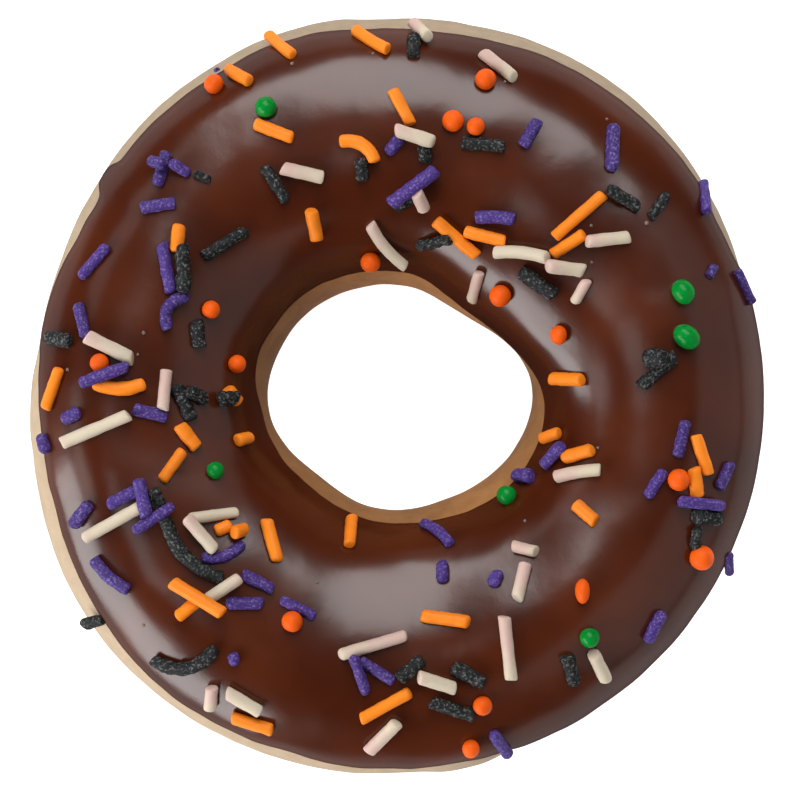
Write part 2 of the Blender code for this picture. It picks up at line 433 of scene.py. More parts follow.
def icing_mesh(look):
    """The icing: over the top from its outer lip to its inner one, and back against the dough."""
    stations = ICING_TOP_STATIONS + ICING_UNDER_STATIONS
    mesh, direction, station = ring_blank("chocolate_icing", ICING_DIRECTIONS, stations)
    edge = np.column_stack([np.cos(direction), np.sin(direction), np.zeros(len(direction))])
    wobble = 0.22 * MM * swell(edge, 0.11, 1) + 0.12 * MM * swell(edge, 0.05, 2)
    inner_wobble = 0.2 * MM * swell(edge, 0.25, 3) + 0.1 * MM * swell(edge, 0.1, 4)
    rise = around("rise", direction)
    turned = ((np.degrees(direction) - RIM_THIN_TOWARDS + 180) % 360 - 180) / RIM_THIN_SPREAD
    thinner = np.exp(-turned ** 4)
    start = around("start", direction) + (wobble - reach(direction, RIM_REACH * (1 + 0.9 * thinner), RIM_RUNS)) / rise
    end = around("end", direction) - (inner_wobble - reach(direction, HOLE_REACH, HOLE_RUNS)) / rise
    top = station < ICING_TOP_STATIONS
    share = station / (ICING_TOP_STATIONS - 1)
    share = share - 0.6 * np.sin(math.tau * share) / math.tau
    back = (station - ICING_TOP_STATIONS + 1) / (ICING_UNDER_STATIONS + 1)
    share = np.where(top, share, 1 - back)
    turn = start + share * (end - start)
    length = (end - start) * rise
    rounding = 1 - (1 - np.minimum(1, length * share / look.rim_lip)) ** 2
    outward = np.clip(1 - length * share / RIM_SLOPE, 0, 1)
    thin_rim = 1 - RIM_THINNING * thinner * outward ** 2 * (3 - 2 * outward)
    edge_rounding = 1 - (1 - np.minimum(1, length * (1 - share) / HOLE_ROUNDING)) ** 2
    climbed = np.minimum(1, length * (1 - share) / look.hole_slope)
    thinned = HOLE_EDGE + (1 - HOLE_EDGE) * climbed ** 2 * (3 - 2 * climbed)
    fullness = np.sqrt(rounding * edge_rounding) * thinned * thin_rim
    flat = skin(direction, turn, 0.0)
    uneven = swell(flat, 9.0 * MM, 5) + 0.08 * swell(flat, 3.4 * MM, 6)
    thickness = (look.depth + look.unevenness * uneven) * fullness + pools(flat)
    crust = bpy.context.scene.doughnut_crust.lumps * dough_lumps(flat, np.where(top, 1 - fullness, 1))
    lift = crust + np.where(top, thickness, -ICING_SETTLE)
    place_points(mesh, skin(direction, turn, lift))
    return mesh


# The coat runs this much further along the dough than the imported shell, which stands off by its gap
RIM_REACH = 0.4 * MM
HOLE_REACH = 0.6 * MM
# And further still where it ran down: (direction, spread in degrees, millimetres)
RIM_RUNS = (
    (26, 6, -1.2), (126, 16, 0.45), (142.9, 2.5, 2.0), (151, 6, -1.0), (181, 8, -0.6), (262, 6, 0.4),
    (281, 7, -1.3),
)
HOLE_RUNS = ((32, 38, 0.45), (195, 13, 0.6))


# The icing thins by this share towards the rim, over this length, round this direction
RIM_THINNING = 0.5
RIM_SLOPE = 10 * MM
RIM_THIN_TOWARDS = 97
RIM_THIN_SPREAD = 50
# Where the icing pooled as it set: (direction, distance from the hole's edge, spread in degrees,
# spread in millimetres, height in millimetres)
POOLS = (
    (30, 2.6, 34, 2.3, 0.6), (296, 16.5, 22, 6.5, 0.7), (343, 9.5, 18, 6.0, -0.3),
)


def pools(flat):
    """How much the icing's pools add to its depth at each place."""
    direction = np.arctan2(flat[:, 1], flat[:, 0])
    hole = around("crest", direction) - around("inward", direction)
    away = np.hypot(flat[:, 0], flat[:, 1]) - hole
    total = np.zeros(len(flat))
    for middle, offset, spread, across, height in POOLS:
        aside = ((np.degrees(direction) - middle + 180) % 360 - 180) / spread
        total += height * MM * np.exp(-aside ** 2 - ((away - offset * MM) / (across * MM)) ** 2)
    return total


# The inner edge keeps this share of the icing's depth, rounded off over this length
HOLE_EDGE = 0.10
HOLE_ROUNDING = 0.5 * MM
# The icing's underside lies this deep in the dough's skin
ICING_SETTLE = 0.25 * MM


def dough_lumps(flat, small=1.0):
    """How the dough's skin swells and dips, about -1 to 1, at each place on it."""
    return swell(flat, 7.0 * MM, 11) + 0.4 * small * swell(flat, 2.6 * MM, 12)


def dough_mesh(look):
    """The dough: its skin from the foot's outer edge over the crest to the inner one, and the foot."""
    stations = DOUGH_SKIN_STATIONS + DOUGH_FOOT_STATIONS
    mesh, direction, station = ring_blank("fried_dough", DOUGH_DIRECTIONS, stations)
    # Station 0 lies at the rim, so the skin's stations are counted from the foot's outer edge.
    order = (station + FOOT_TO_RIM) % stations
    on_skin = order < DOUGH_SKIN_STATIONS
    share = np.minimum(order, DOUGH_SKIN_STATIONS - 1) / (DOUGH_SKIN_STATIONS - 1)
    turn = -FOOT_TURN + share * (math.pi + 2 * FOOT_TURN)
    flat = skin(direction, turn, 0.0)
    off_foot = np.clip(flat[:, 2] / (3 * MM), 0, 1)
    places = skin(direction, turn, look.lumps * dough_lumps(flat) * off_foot)
    outer = skin(direction, np.full(len(direction), -FOOT_TURN), 0.0)
    inner = skin(direction, np.full(len(direction), math.pi + FOOT_TURN), 0.0)
    along = ((order - DOUGH_SKIN_STATIONS + 1) / (DOUGH_FOOT_STATIONS + 1))[:, None]
    foot = inner + np.clip(along, 0, 1) * (outer - inner)
    places = np.where(on_skin[:, None], places, foot)
    places[:, 2] = np.maximum(places[:, 2], 0)
    place_points(mesh, places)
    return mesh


FOOT_TO_RIM = round(
    (DOUGH_SKIN_STATIONS - 1) * FOOT_TURN / (math.pi + 2 * FOOT_TURN))


# --- Rods and beads ---


def under_sight(x, y, height):
    """The true place, at this height, of what the viewer sees at (x, y) on the waist's plane."""
    near = (EYE.z - height) / (EYE.z - WAIST)
    return EYE.x + (x - EYE.x) * near, EYE.y + (y - EYE.y) * near


def surface_under(tree, x, y):
    """The top's height straight below, and how level it is there, or None past its edge."""
    hit, normal, _, _ = tree.ray_cast(Vector((x, y, 60 * MM)), Vector((0, 0, -1)))
    if hit is None or hit.z < 15 * MM:
        return None
    return hit.z, max(normal.z, 0.5)


def seen_on(tree, x, y, clearance, height=27 * MM):
    """The true place of something seen at (x, y) that stands this far clear of the icing."""
    for _ in range(4):
        true_x, true_y = under_sight(x, y, height)
        below = surface_under(tree, true_x, true_y)
        if below is None:
            break
        height = below[0] + clearance / below[1]
    return true_x, true_y, height, below is not None


ROD_SAMPLES = 13

# A rod's blank is four units long, and this much of each end keeps its shape
BLANK_HALF = 2.0
BLANK_END = 0.5


def rest_rod(tree, laid, row, sink):
    """Lays a rod on the icing and on the rods already there, as a stiff rod would rest, and returns
    the points along its axis."""
    x0, y0, x1, y1, width = (value * MM for value in row[:5])
    bow = row[5] * MM if len(row) > 5 else 0.0
    radius = width / 2
    shares = np.linspace(0, 1, ROD_SAMPLES)
    length = math.hypot(x1 - x0, y1 - y0)
    aside = (-(y1 - y0) / length, (x1 - x0) / length)
    seen = [
        (x0 + (x1 - x0) * share + aside[0] * bow * 4 * share * (1 - share),
         y0 + (y1 - y0) * share + aside[1] * bow * 4 * share * (1 - share))
        for share in shares
    ]
    heights = np.full(ROD_SAMPLES, 26 * MM)
    for _ in range(3):
        floor = []
        places = [under_sight(x, y, height) for (x, y), height in zip(seen, heights)]
        for x, y in places:
            below = surface_under(tree, x, y)
            floor.append(0.0 if below is None else below[0] + (radius - sink) / below[1])
        floor = np.array(floor)
        lifts = np.zeros(ROD_SAMPLES)
        for axis, other in laid:
            reach = radius + other
            for index, (x, y) in enumerate(places):
                gaps = np.hypot(axis[:, 0] - x, axis[:, 1] - y) + SIDE_SLACK
                close = gaps < reach
                if close.any():
                    over = (axis[close, 2] + np.sqrt(reach ** 2 - gaps[close] ** 2) * 0.94).max()
                    lifts[index] = max(lifts[index], min(over - floor[index], 1.08 * reach))
        rests_on = floor + np.where(floor > 0, lifts, 0)
        heights = resting_line(shares - 0.5, rests_on, floor > 0, most_fall(length))
    # A tilted rod shows its ends' breadth as well as its length.
    tilt = math.atan2(abs(heights[-1] - heights[0]), length)
    kept = max(1 - END_SHOWN * width * math.sin(tilt) / length, min(1, 1.2 * width / length))
    axis = np.array([(x, y, z) for (x, y), z in zip(places, heights)])
    inner = 0.5 + (shares - 0.5) * kept
    return np.column_stack([np.interp(inner, shares, axis[:, k]) for k in range(3)])


# How much of its thickness a rod standing on end would show beyond its axis
END_SHOWN = 0.8
# Rods this much nearer to each other than touching still lie side by side
SIDE_SLACK = 0.2 * MM
# How much more a rod minds what it would sink into than what it would hang over
PRESS = 7.0


# No rod is longer than this, and none that shows this level a lean is doubted
LONGEST_ROD = 7.2 * MM
LEAST_LEAN = 0.45
MOST_LEAN = 1.1


def most_fall(length):
    """How much higher one end of a rod may lie than the other, for this length seen from above."""
    lean = math.sqrt(max(LONGEST_ROD ** 2 - length ** 2, 0.0)) / length
    return min(max(lean, LEAST_LEAN), MOST_LEAN) * length


def resting_line(along, floor, known, fall):
    """Heights along a stiff line that rests on what is below it and barely sinks into it."""
    if not known.any():
        raise RuntimeError("a rod lies wholly off the icing")
    weights = known.astype(float)
    for _ in range(12):
        total, lean = weights.sum(), (weights * along).sum()
        spread = (weights * along ** 2).sum() + 0.02
        height, moment = (weights * floor).sum(), (weights * along * floor).sum()
        slope = (total * moment - lean * height) / (total * spread - lean ** 2)
        slope = min(max(slope, -fall), fall)
        line = (height - lean * slope) / total + slope * along
        weights = np.where(floor > line, PRESS, 1.0) * known
    return line


def rod_blank(sides, rings, rounding, segments):
    """A rod one unit thick and four long, along Z, with rounded or crisp ends."""
    shape = bmesh.new()
    bmesh.ops.create_cone(
        shape, cap_ends=True, cap_tris=False, segments=sides, radius1=0.5, radius2=0.5, depth=4)
    rims = [edge for edge in shape.edges if edge.verts[0].co.z * edge.verts[1].co.z > 0]
    bmesh.ops.bevel(
        shape, geom=rims, offset=rounding, offset_type="OFFSET", segments=segments, profile=0.5,
        affect="EDGES", material=-1, clamp_overlap=True)
    long = [edge for edge in shape.edges if edge.verts[0].co.z * edge.verts[1].co.z < 0]
    bmesh.ops.subdivide_edges(shape, edges=long, cuts=rings, use_grid_fill=True)
    caps = [face for face in shape.faces if len(face.verts) == sides]
    bmesh.ops.poke(shape, faces=caps)
    bmesh.ops.recalc_face_normals(shape, faces=shape.faces)
    mesh = bpy.data.meshes.new("rod_blank")
    shape.to_mesh(mesh)
    shape.free()
    return mesh


def bent_rod(blank, axis, width, chance, rough, cut):
    """The blank's vertices laid along an axis, a little uneven, and each one's share of the length."""
    length = np.linalg.norm(np.diff(axis, axis=0), axis=1).sum()
    shares = np.linspace(0, 1, len(axis))
    twist, seed = chance.uniform(0, math.tau), chance.uniform(0, 50)
    thick = width * chance.uniform(0.96, 1.04)
    x, y, z = blank.T
    # The ends keep their shape, and the stretch between them takes up the length.
    near_end = np.abs(z) > BLANK_HALF - BLANK_END
    at_end = np.copysign(length / 2 - (BLANK_HALF - np.abs(z)) * thick, z)
    down = np.where(near_end, at_end, z / (BLANK_HALF - BLANK_END) * (length / 2 - BLANK_END * thick))
    slants = [math.tan(math.radians(chance.uniform(-cut, cut))) for _ in range(4)]
    slant = np.where(z > 0, slants[0] * x + slants[1] * y, slants[2] * x + slants[3] * y)
    ends = np.clip((np.abs(z) - 1) / (BLANK_HALF - 1), 0, 1)
    down = down + slant * thick * ends
    share = 0.5 + down / length

    def on_axis(at):
        at = np.clip(at, 0, 1)
        return np.column_stack([np.interp(at, shares, axis[:, k]) for k in range(3)])

    straight = (axis[-1] - axis[0]) * (share - np.clip(share, 0, 1))[:, None]
    centre = on_axis(share) + straight
    inside = np.clip(share, 0.08, 0.92)
    ahead = on_axis(inside + 0.08) - on_axis(inside - 0.08)
    ahead /= np.linalg.norm(ahead, axis=1)[:, None]
    aside = np.cross(ahead, (0, 0, 1))
    aside /= np.linalg.norm(aside, axis=1)[:, None]
    above = np.cross(aside, ahead)
    about = np.arctan2(y, x) + twist
    swelling = []
    for place, angle in zip(down, about):
        ridge = Vector((math.cos(angle), math.sin(angle), place / (0.9 * MM)))
        crumb = Vector((1.9 * math.cos(angle), 1.9 * math.sin(angle), place / (0.42 * MM)))
        swelling.append(
            1 + 0.07 * noise.noise(Vector((seed, place / (1.9 * MM), 0)))
            + rough * noise.noise(ridge + Vector((seed, 0, 0)))
            + 0.7 * rough * noise.noise(crumb + Vector((0, seed, 0))))
    out = thick * np.hypot(x, y) * np.array(swelling)
    places = centre + aside * (out * np.cos(about))[:, None] + above * (out * np.sin(about))[:, None]
    return places, np.clip(share, 0, 1)


def rods_mesh(name, laid_rods, blanks, rough, cut, chance):
    """One mesh of all the rods of a kind, and the tint of each vertex."""
    shape = bmesh.new()
    tint = []
    for row, axis in laid_rods:
        blank = chance.choice(blanks)
        first = len(shape.verts)
        shape.from_mesh(blank)
        shape.verts.ensure_lookup_table()
        places, along = bent_rod(points_of(blank), axis, row[4] * MM, chance, rough, cut)
        own_hue = row[7] if len(row) > 7 else chance.uniform(-0.25, 0.35)
        own_shade = chance.random()
        for vertex, place, share in zip(shape.verts[first:], places, along):
            vertex.co = place
            tint.append((share, own_shade, own_hue * 0.5 + 0.5, 1.0))
    bmesh.ops.recalc_face_normals(shape, faces=shape.faces)
    mesh = bpy.data.meshes.new(name)
    shape.to_mesh(mesh)
    shape.free()
    mesh.shade_smooth()
    paint_tint(mesh, tint)
    return mesh


def paint_tint(mesh, tint):
    """Keeps each vertex's share of the length, own shade and own hue with the mesh."""
    layer = mesh.color_attributes.new("tint", "FLOAT_COLOR", "POINT")
    layer.data.foreach_set("color", np.array(tint, np.float32).ravel())


def crumbs_mesh(name, rows, tree, chance):
    """One mesh of the sugar crumbs, each a little lump of its own shape."""
    shape = bmesh.new()
    tint = []
    for x, y, wide in rows:
        radius = wide / 2 * MM
        true_x, true_y, height, _ = seen_on(tree, x * MM, y * MM, radius * 0.3)
        centre = Vector((true_x, true_y, height))
        first = len(shape.verts)
        bmesh.ops.create_icosphere(
            shape, subdivisions=2, radius=radius, matrix=Matrix.Translation(centre))
        shape.verts.ensure_lookup_table()
        seed = Vector((chance.uniform(0, 50), 0, 0))
        for vertex in shape.verts[first:]:
            out = vertex.co - centre
            vertex.co = centre + out * (1 + 0.5 * noise.noise(out / radius * 1.1 + seed))
            tint.append((0.5, 0.2, 0.85, 1.0))
    mesh = bpy.data.meshes.new(name)
    shape.to_mesh(mesh)
    shape.free()
    mesh.shade_smooth()
    paint_tint(mesh, tint)
    return mesh


def beads_mesh(name, rows, tree, chance):
    """One mesh of all the beads of a kind."""
    shape = bmesh.new()
    tint = []
    for x, y, wide, high, turn in rows:
        radius = (wide + high) / 4 * MM
        sink = 0.22 * radius * 2
        true_x, true_y, height, _ = seen_on(tree, x * MM, y * MM, radius - sink)
        first = len(shape.verts)
        scale = Matrix.Diagonal((wide / 2 * MM, high / 2 * MM, radius, 1))
        turned = Matrix.Rotation(math.radians(turn), 4, "Z")
        place = Matrix.Translation((true_x, true_y, height)) @ turned @ scale
        bmesh.ops.create_icosphere(shape, subdivisions=3, radius=1, matrix=place)
        shape.verts.ensure_lookup_table()
        centre = Vector((true_x, true_y, height))
        seed = Vector((chance.uniform(0, 50), 0, 0))
        shade = chance.random()
        for vertex in shape.verts[first:]:
            out = vertex.co - centre
            vertex.co = centre + out * (1 + 0.05 * noise.noise(out / radius * 0.9 + seed))
            tint.append((0.5, shade, 0.5, 1.0))
    mesh = bpy.data.meshes.new(name)
    shape.to_mesh(mesh)
    shape.free()
    mesh.shade_smooth()
    paint_tint(mesh, tint)
    return mesh


# --- Materials ---


def add_node(tree, kind, settings=None, **sockets):
    """Adds a shader node, with its settings, and sets or joins its sockets by name."""
    node = tree.nodes.new(kind)
    for name, value in (settings or {}).items():
        setattr(node, name, value)
    for name, value in sockets.items():
        put(tree, node.inputs[name.replace("_", " ")], value)
    return node


def put(tree, socket, value):
    """Sets a socket, or joins it to the output given."""
    if isinstance(value, bpy.types.NodeSocket):
        tree.links.new(value, socket)
    else:
        socket.default_value = value


def figure(tree, operation, *values):
    """A Math node's result."""
    node = add_node(tree, "ShaderNodeMath", {"operation": operation})
    for socket, value in zip(node.inputs, values):
        put(tree, socket, value)
    return node.outputs[0]


def between(tree, value, low, high, smooth=True):
    """0 below the low value and 1 above the high one, with a soft step between them."""
    node = add_node(
        tree, "ShaderNodeMapRange",
        {"interpolation_type": "SMOOTHSTEP" if smooth else "LINEAR"},
        Value=value, From_Min=low, From_Max=high)
    return node.outputs["Result"]


def blend(tree, share, first, second):
    """Two colours mixed."""
    node = add_node(tree, "ShaderNodeMix", {"data_type": "RGBA"})
    put(tree, node.inputs["Factor"], share)
    for socket, value in ((node.inputs[6], first), (node.inputs[7], second)):
        put(tree, socket, (*value, 1.0) if isinstance(value, (tuple, list)) else value)
    return node.outputs[2]


def grain(tree, place, size, detail=2.0, roughness=0.5):
    """Noise from 0 to 1 in grains of this size."""
    node = add_node(
        tree, "ShaderNodeTexNoise", Vector=place, Scale=1 / size, Detail=detail, Roughness=roughness)
    return node.outputs["Fac"]


def relief(tree, height, distance, strength=1.0, normal=None):
    """A Bump node's normal."""
    node = add_node(tree, "ShaderNodeBump", Height=height, Distance=distance, Strength=strength)
    if normal is not None:
        tree.links.new(normal, node.inputs["Normal"])
    return node.outputs["Normal"]


def new_look(name, roughness, specular=0.5):
    """A new material: its tree, its shader, and the place on the piece that it reads."""
    material = bpy.data.materials.new(name)
    material.use_nodes = True
    tree = material.node_tree
    shader = tree.nodes["Principled BSDF"]
    shader.inputs["Roughness"].default_value = roughness
    shader.inputs["Specular IOR Level"].default_value = specular
    place = add_node(tree, "ShaderNodeTexCoord").outputs["Object"]
    return material, tree, shader, place


# The direction the lights come from, which steers the painted shade on the dough's rim band and the painted light and
# shade on the hole's wall
PAINTED_LIGHT_FROM = math.radians(222)


def scaled_by(tree, colour, factor):
    """A socket's colour made darker or lighter."""
    node = add_node(tree, "ShaderNodeMix", {"data_type": "RGBA", "blend_type": "MULTIPLY"})
    node.inputs["Factor"].default_value = 1.0
    tree.links.new(colour, node.inputs[6])
    node.inputs[7].default_value = (factor, factor, factor, 1.0)
    return node.outputs[2]


def dough_look(look):
    """Fried dough: a pale band round the rim, golden above and below it, brown inside and under, with painted shade on
    the band away from the lights and painted light and shade on the hole's wall.
    """
    material, tree, shader, place = new_look("fried_dough_crust", 0.62)
    axes = add_node(tree, "ShaderNodeSeparateXYZ", Vector=place)
    x, y, z = axes.outputs
    away = figure(tree, "SQRT", figure(tree, "ADD", figure(tree, "MULTIPLY", x, x), figure(tree, "MULTIPLY", y, y)))
    cloud = figure(tree, "SUBTRACT", grain(tree, place, 9 * MM, 3.0), 0.5)
    mottle = grain(tree, place, 2.2 * MM, 4.0, 0.6)
    height = figure(tree, "ADD", z, figure(tree, "MULTIPLY", cloud, 5 * MM))
    below = between(tree, height, 7 * MM, 12 * MM)
    fried = blend(tree, between(tree, height, 1 * MM, 8 * MM), tuple(look.brown), tuple(look.golden))
    outer = blend(tree, below, fried, tuple(look.pale))
    inner_shade = figure(tree, "ADD", figure(tree, "MULTIPLY", mottle, 0.5), 0.0)
    inner = blend(tree, inner_shade, tuple(look.brown), tuple(look.golden))
    toward_lights = figure(tree, "ADD", figure(tree, "MULTIPLY", x, math.cos(PAINTED_LIGHT_FROM)), figure(tree, "MULTIPLY", y, math.sin(PAINTED_LIGHT_FROM)))
    towards = figure(tree, "DIVIDE", toward_lights, away)
    # Painted shade: the rim's band is darkened to 0.79 on the side away from the lights.
    outer = blend(tree, between(tree, towards, 0.0, 0.85), scaled_by(tree, outer, 0.79), outer)
    # Painted light on the hole's wall: 1.7 times brighter on the side that faces the lights. Painted shade: its east
    # side darkened to 0.66.
    painted_shade_east = between(tree, figure(tree, "DIVIDE", x, away), 0.5, 1.0)
    inner = blend(tree, between(tree, towards, 0.6, -0.5), inner, scaled_by(tree, inner, 1.7))
    inner = blend(tree, painted_shade_east, inner, scaled_by(tree, inner, 0.66))
    outside = between(tree, away, 21 * MM, 33 * MM)
    colour = blend(tree, outside, inner, outer)
    dim = blend(tree, between(tree, mottle, 0.3, 0.75), (0.80, 0.78, 0.74), (1.08, 1.06, 1.04))
    toned = add_node(tree, "ShaderNodeMix", {"data_type": "RGBA", "blend_type": "MULTIPLY"})
    toned.inputs["Factor"].default_value = 0.5
    tree.links.new(colour, toned.inputs[6])
    tree.links.new(dim, toned.inputs[7])
    tree.links.new(toned.outputs[2], shader.inputs["Base Color"])
    wrinkle = relief(tree, grain(tree, place, 1.6 * MM, 4.0, 0.55), 0.22 * MM, 0.8)
    pores = relief(tree, grain(tree, place, 0.35 * MM, 2.0), 0.05 * MM, 0.7, wrinkle)
    tree.links.new(pores, shader.inputs["Normal"])
    return material


def icing_look(look):
    """Set chocolate icing, softly glossy, with faint clouds and a fine skin."""
    material, tree, shader, place = new_look("chocolate_icing_gloss", look.gloss)
    cloud = grain(tree, place, 14 * MM, 3.0)
    colour = blend(tree, between(tree, cloud, 0.3, 0.7), tuple(look.dark), tuple(look.light))
    tree.links.new(colour, shader.inputs["Base Color"])
    skin_relief = relief(tree, grain(tree, place, 1.7 * MM, 3.0, 0.45), 0.03 * MM, 0.6)
    fine = relief(tree, grain(tree, place, 0.3 * MM, 2.0), 0.008 * MM, 0.6, skin_relief)
    tree.links.new(fine, shader.inputs["Normal"])
    return material


def tint_of(tree):
    """Each vertex's share of the length, own shade and own hue."""
    colour = add_node(tree, "ShaderNodeAttribute", {"attribute_name": "tint"}).outputs["Color"]
    return add_node(tree, "ShaderNodeSeparateColor", Color=colour).outputs


def scaled(colour, factor):
    """A colour made darker or lighter."""
    return tuple(min(1.0, part * factor) for part in colour)


def orange_look(colour, name, roughness, bump):
    """Orange sugar, smooth, a little deeper in some rods and in faint clouds."""
    material, tree, shader, place = new_look(name, roughness, 0.15)
    _, shade, _ = tint_of(tree)
    cloud = grain(tree, place, 1.1 * MM, 3.0)
    mixed = figure(tree, "ADD", figure(tree, "MULTIPLY", cloud, 0.7), figure(tree, "MULTIPLY", shade, 0.45))
    base = blend(tree, mixed, scaled(colour, 0.80), scaled(colour, 1.12))
    tree.links.new(base, shader.inputs["Base Color"])
    skin_relief = relief(tree, grain(tree, place, 0.5 * MM, 3.0), bump, 0.7)
    tree.links.new(skin_relief, shader.inputs["Normal"])
    return material


def purple_look(colour):
    """Purple sugar, dull and grainy, flecked with lilac."""
    material, tree, shader, place = new_look("purple_sugar", 0.6, 0.25)
    _, shade, hue = tint_of(tree)
    own = blend(tree, shade, scaled(colour, 0.8), scaled(colour, 1.2))
    bluish = blend(tree, between(tree, hue, 0.3, 0.05), own, (0.05, 0.055, 0.20))
    flecks = between(tree, grain(tree, place, 0.3 * MM, 2.0, 0.6), 0.48, 0.72)
    base = blend(tree, flecks, bluish, (0.165, 0.11, 0.33))
    tree.links.new(base, shader.inputs["Base Color"])
    crumbs = relief(tree, grain(tree, place, 0.3 * MM, 4.0, 0.6), 0.09 * MM, 0.9)
    tree.links.new(crumbs, shader.inputs["Normal"])
    return material


def black_look(colour):
    """Black sugar, crumbly, with pale grey specks."""
    material, tree, shader, place = new_look("black_sugar", 0.55, 0.2)
    flecks = between(tree, grain(tree, place, 0.32 * MM, 3.0, 0.6), 0.50, 0.72)
    warm = between(tree, grain(tree, place, 0.9 * MM, 1.0), 0.35, 0.65)
    bright = blend(tree, warm, (0.125, 0.145, 0.12), (0.17, 0.14, 0.145))
    base = blend(tree, flecks, tuple(colour), bright)
    tree.links.new(base, shader.inputs["Base Color"])
    crumbs = relief(tree, grain(tree, place, 0.32 * MM, 4.0, 0.65), 0.14 * MM, 1.0)
    tree.links.new(crumbs, shader.inputs["Normal"])
    return material


def pale_look(cream, pink):
    """Cream sugar, some rods pinkish and most pinker towards one end."""
    material, tree, shader, place = new_look("pale_sugar", 0.6, 0.25)
    along, shade, hue = tint_of(tree)
    cloud = figure(tree, "MULTIPLY", figure(tree, "SUBTRACT", grain(tree, place, 1.2 * MM, 3.0), 0.5), 0.9)
    towards = figure(tree, "MULTIPLY", figure(tree, "SUBTRACT", 0.5, along), 0.7)
    pinkness = figure(tree, "ADD", figure(tree, "ADD", hue, cloud), figure(tree, "ADD", towards, -0.15))
    base = blend(tree, between(tree, pinkness, 0.15, 0.8), tuple(cream), tuple(pink))
    dim = blend(tree, shade, scaled(cream, 0.93), (1.0, 1.0, 1.0))
    toned = add_node(tree, "ShaderNodeMix", {"data_type": "RGBA", "blend_type": "MULTIPLY"})
    toned.inputs["Factor"].default_value = 0.12
    tree.links.new(base, toned.inputs[6])
    tree.links.new(dim, toned.inputs[7])
    tree.links.new(toned.outputs[2], shader.inputs["Base Color"])
    skin_relief = relief(tree, grain(tree, place, 0.4 * MM, 3.0), 0.05 * MM, 0.8)
    tree.links.new(skin_relief, shader.inputs["Normal"])
    return material


def green_look(colour):
    """Green sugar bead with a hard gloss."""
    material, tree, shader, place = new_look("green_bead", 0.23, 0.15)
    cloud = grain(tree, place, 0.9 * MM, 3.0)
    base = blend(tree, cloud, scaled(colour, 0.8), scaled(colour, 1.2))
    tree.links.new(base, shader.inputs["Base Color"])
    skin_relief = relief(tree, grain(tree, place, 0.7 * MM, 2.0), 0.04 * MM, 0.6)
    tree.links.new(skin_relief, shader.inputs["Normal"])
    return material


# --- Operators ---


class MakeCrust(bpy.types.Operator):
    """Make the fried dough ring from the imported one"""

    bl_idname = "doughnut.make_crust"
    bl_label = "Make Crust"

    def execute(self, context):
        look = context.scene.doughnut_crust
        piece = add_piece("dough_crust", dough_mesh(look), dough_look(look))
        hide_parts("dough")
        return {"FINISHED"}


class MakeIcing(bpy.types.Operator):
    """Make the chocolate icing over the dough's top"""

    bl_idname = "doughnut.make_icing"
    bl_label = "Make Icing"

    def execute(self, context):
        look = context.scene.doughnut_icing
        piece = add_piece("icing_coat", icing_mesh(look), icing_look(look))
        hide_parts("icing")
        return {"FINISHED"}


def top_tree():
    """The icing and the dough as one tree that rays can be cast at."""
    places, faces = [], []
    for name in ("icing_coat", "dough_crust"):
        mesh, first = bpy.data.objects[name].data, len(places)
        places += [vertex.co for vertex in mesh.vertices]
        faces += [[first + index for index in face.vertices] for face in mesh.polygons]
    return BVHTree.FromPolygons(places, faces)


class LayRods(bpy.types.Operator):
    """Lay the sugar rods on the icing, each kind as one piece"""

    bl_idname = "doughnut.lay_rods"
    bl_label = "Lay Rods"

    def execute(self, context):
        look = context.scene.doughnut_sugar
        tree = top_tree()
        sinks = {"orange": 1.0, "purple": 1.0, "black": 1.1, "pale": 0.7}
        laid, rods = [], {kind: [] for kind in RODS}
        for layer in (0, 1):
            for kind, rows in RODS.items():
                for row in rows:
                    if (row[6] if len(row) > 6 else 0) != layer:
                        continue
                    axis = rest_rod(tree, laid, row, look.sink * sinks[kind])
                    laid.append((axis, row[4] * MM / 2))
                    rods[kind].append((row, axis))
        soft = rod_blank(14, 9, 0.42, 4)
        firm = rod_blank(14, 9, 0.28, 3)
        blunt = rod_blank(14, 9, 0.20, 3)
        crisp = rod_blank(14, 9, 0.13, 2)
        coarse = rod_blank(20, 24, 0.22, 3)
        makes = {
            "orange": ((blunt, firm, blunt), 0.07, 12, orange_look(look.orange, "orange_sugar", 0.42, 0.03 * MM)),
            "purple": ((firm, blunt, soft), 0.13, 14, purple_look(look.purple)),
            "black": ((coarse,), 0.22, 16, black_look(look.black)),
            "pale": ((crisp, crisp, firm), 0.05, 22, pale_look(look.pale, look.pink)),
        }
        for kind, (blanks, rough, cut, material) in makes.items():
            chance = random.Random(kind)
            mesh = rods_mesh(f"{kind}_rods", rods[kind], blanks, rough, cut, chance)
            add_piece(f"sprinkles_{kind}", mesh, material)
        return {"FINISHED"}


class LayBeads(bpy.types.Operator):
    """Lay the sugar beads on the icing, each colour as one piece, and the sugar's crumbs"""

    bl_idname = "doughnut.lay_beads"
    bl_label = "Lay Beads"

    def execute(self, context):
        look = context.scene.doughnut_sugar
        tree = top_tree()
        makes = {
            "orange": orange_look(look.orange_bead, "orange_bead", 0.5, 0.05 * MM),
            "green": green_look(look.green_bead),
        }
        for kind, material in makes.items():
            mesh = beads_mesh(f"{kind}_beads", BEADS[kind], tree, random.Random(kind + " beads"))
            add_piece(f"beads_{kind}", mesh, material)
        crumbs = crumbs_mesh("sugar_crumbs", CRUMBS, tree, random.Random("crumbs"))
        # The crumbs take the pale rods' colours darkened to 0.42.
        dim_crumb_look = pale_look(scaled(look.pale, 0.42), scaled(look.pink, 0.42))
        add_piece("crumbs_pale", crumbs, dim_crumb_look)
        return {"FINISHED"}


AIM = Vector((0, 0, 20 * MM))


